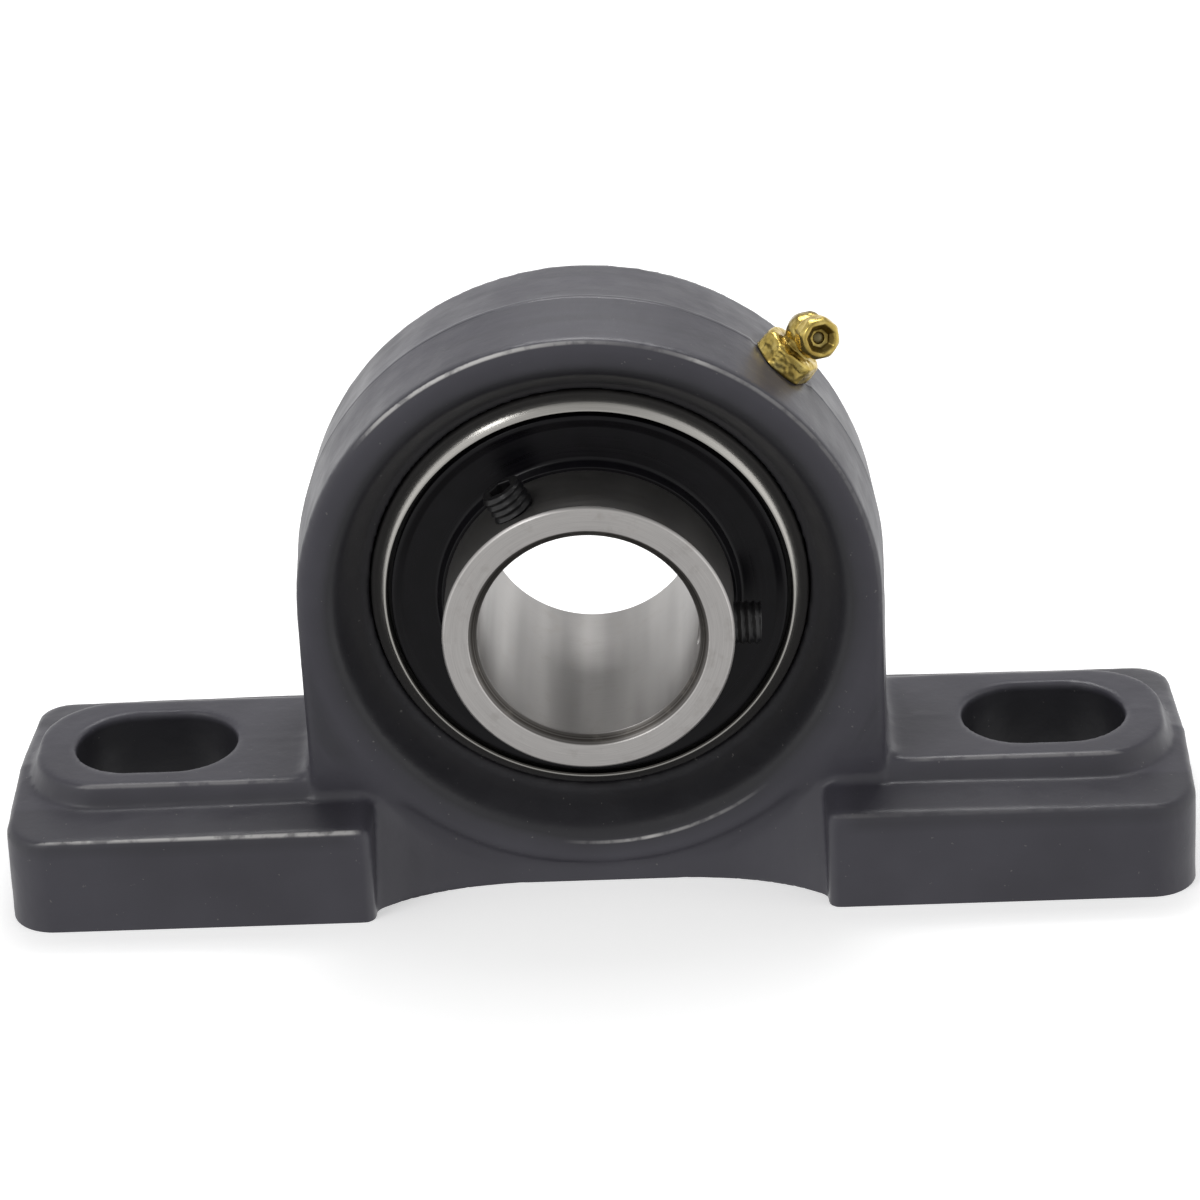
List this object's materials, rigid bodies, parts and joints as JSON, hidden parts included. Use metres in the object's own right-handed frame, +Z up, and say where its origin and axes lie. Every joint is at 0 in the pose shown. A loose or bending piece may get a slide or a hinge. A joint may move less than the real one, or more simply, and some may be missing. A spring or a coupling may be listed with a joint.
{
  "type": "pillow block bearing",
  "caption": "Cast pillow block housing on slotted feet, holding a self-aligning ball bearing insert with set screws and a brass grease fitting.",
  "frame": {"origin": "centre of the base's underside, straight below the bore axis", "axes": "+X along the base through both bolt slots, +Y along the shaft from the set screw end to the back, +Z up"},
  "size_m": [0.166, 0.045, 0.0836],
  "materials": {
    "housing_paint": "charcoal semi-gloss paint over cast iron",
    "ring_steel": "ground and honed bearing steel",
    "ball_steel": "polished bearing balls",
    "slinger_black": "black semi-gloss pressed steel",
    "seal_rubber": "matte black nitrile",
    "cage_steel": "bright pressed strip",
    "screw_black": "black oxide",
    "fitting_brass": "bright yellow plated, polished",
    "spring_steel": "drawn wire"
  },
  "bodies": {
    "housing": {"housing": "housing_paint", "grease_fitting": "fitting_brass", "fitting_spring": "spring_steel"},
    "insert": {"outer_ring": "ring_steel", "front_seal": "seal_rubber", "rear_seal": "seal_rubber"},
    "inner": {"inner_ring": "ring_steel", "front_slinger": "slinger_black", "rear_slinger": "slinger_black"},
    "cage": {"cage_front": "cage_steel", "cage_rear": "cage_steel", "cage_rivets": "cage_steel"},
    "set_screw_1": {"set_screw_1": "screw_black"},
    "set_screw_2": {"set_screw_2": "screw_black"},
    "fitting_ball": {"fitting_ball": "ball_steel"},
    "ball_1": {"ball_1": "ball_steel"},
    "ball_2": {"ball_2": "ball_steel"},
    "ball_3": {"ball_3": "ball_steel"},
    "ball_4": {"ball_4": "ball_steel"},
    "ball_5": {"ball_5": "ball_steel"},
    "ball_6": {"ball_6": "ball_steel"},
    "ball_7": {"ball_7": "ball_steel"},
    "ball_8": {"ball_8": "ball_steel"},
    "ball_9": {"ball_9": "ball_steel"}
  },
  "joints": [
    {"name": "alignment", "type": "hinge", "parent": "housing", "child": "insert", "pos_m": [0, 0, 0.0429], "axis": [0, 0, 1], "range_deg": [-5, 5]},
    {"name": "inner_spin", "type": "hinge", "parent": "insert", "child": "inner", "pos_m": [0, 0, 0.0429], "axis": [0, 1, 0], "continuous": true},
    {"name": "cage_spin", "type": "hinge", "parent": "insert", "child": "cage", "pos_m": [0, 0, 0.0429], "axis": [0, 1, 0], "continuous": true},
    {"name": "ball_1_spin", "type": "hinge", "parent": "cage", "child": "ball_1", "pos_m": [0, 0, 0.0659], "axis": [0, 1, 0], "continuous": true},
    {"name": "ball_2_spin", "type": "hinge", "parent": "cage", "child": "ball_2", "pos_m": [-0.01478, 0, 0.06052], "axis": [0, 1, 0], "continuous": true},
    {"name": "ball_3_spin", "type": "hinge", "parent": "cage", "child": "ball_3", "pos_m": [-0.02265, 0, 0.04689], "axis": [0, 1, 0], "continuous": true},
    {"name": "ball_4_spin", "type": "hinge", "parent": "cage", "child": "ball_4", "pos_m": [-0.01992, 0, 0.0314], "axis": [0, 1, 0], "continuous": true},
    {"name": "ball_5_spin", "type": "hinge", "parent": "cage", "child": "ball_5", "pos_m": [-0.00787, 0, 0.02129], "axis": [0, 1, 0], "continuous": true},
    {"name": "ball_6_spin", "type": "hinge", "parent": "cage", "child": "ball_6", "pos_m": [0.00787, 0, 0.02129], "axis": [0, 1, 0], "continuous": true},
    {"name": "ball_7_spin", "type": "hinge", "parent": "cage", "child": "ball_7", "pos_m": [0.01992, 0, 0.0314], "axis": [0, 1, 0], "continuous": true},
    {"name": "ball_8_spin", "type": "hinge", "parent": "cage", "child": "ball_8", "pos_m": [0.02265, 0, 0.04689], "axis": [0, 1, 0], "continuous": true},
    {"name": "ball_9_spin", "type": "hinge", "parent": "cage", "child": "ball_9", "pos_m": [0.01478, 0, 0.06052], "axis": [0, 1, 0], "continuous": true},
    {"name": "set_screw_1_travel", "type": "slide", "parent": "inner", "child": "set_screw_1", "axis": [-0.4695, 0, 0.8829], "range_m": [-0.0004, 0.0035]},
    {"name": "set_screw_2_travel", "type": "slide", "parent": "inner", "child": "set_screw_2", "axis": [0.9994, 0, -0.0349], "range_m": [-0.0004, 0.0035]},
    {"name": "check_ball_travel", "type": "slide", "parent": "housing", "child": "fitting_ball", "axis": [-0.312, 0.921, -0.2332], "range_m": [0, 0.0004], "stiffness_N_per_m": 300, "springref_m": -0.0015, "deforming": ["fitting_spring"]}
  ],
  "couplings": [
    {"joint": "cage_spin", "follows": "inner_spin", "ratio": 0.39647},
    {"joint": "ball_1_spin", "follows": "inner_spin", "ratio": -2.3112},
    {"joint": "ball_2_spin", "follows": "inner_spin", "ratio": -2.3112},
    {"joint": "ball_3_spin", "follows": "inner_spin", "ratio": -2.3112},
    {"joint": "ball_4_spin", "follows": "inner_spin", "ratio": -2.3112},
    {"joint": "ball_5_spin", "follows": "inner_spin", "ratio": -2.3112},
    {"joint": "ball_6_spin", "follows": "inner_spin", "ratio": -2.3112},
    {"joint": "ball_7_spin", "follows": "inner_spin", "ratio": -2.3112},
    {"joint": "ball_8_spin", "follows": "inner_spin", "ratio": -2.3112},
    {"joint": "ball_9_spin", "follows": "inner_spin", "ratio": -2.3112}
  ]
}
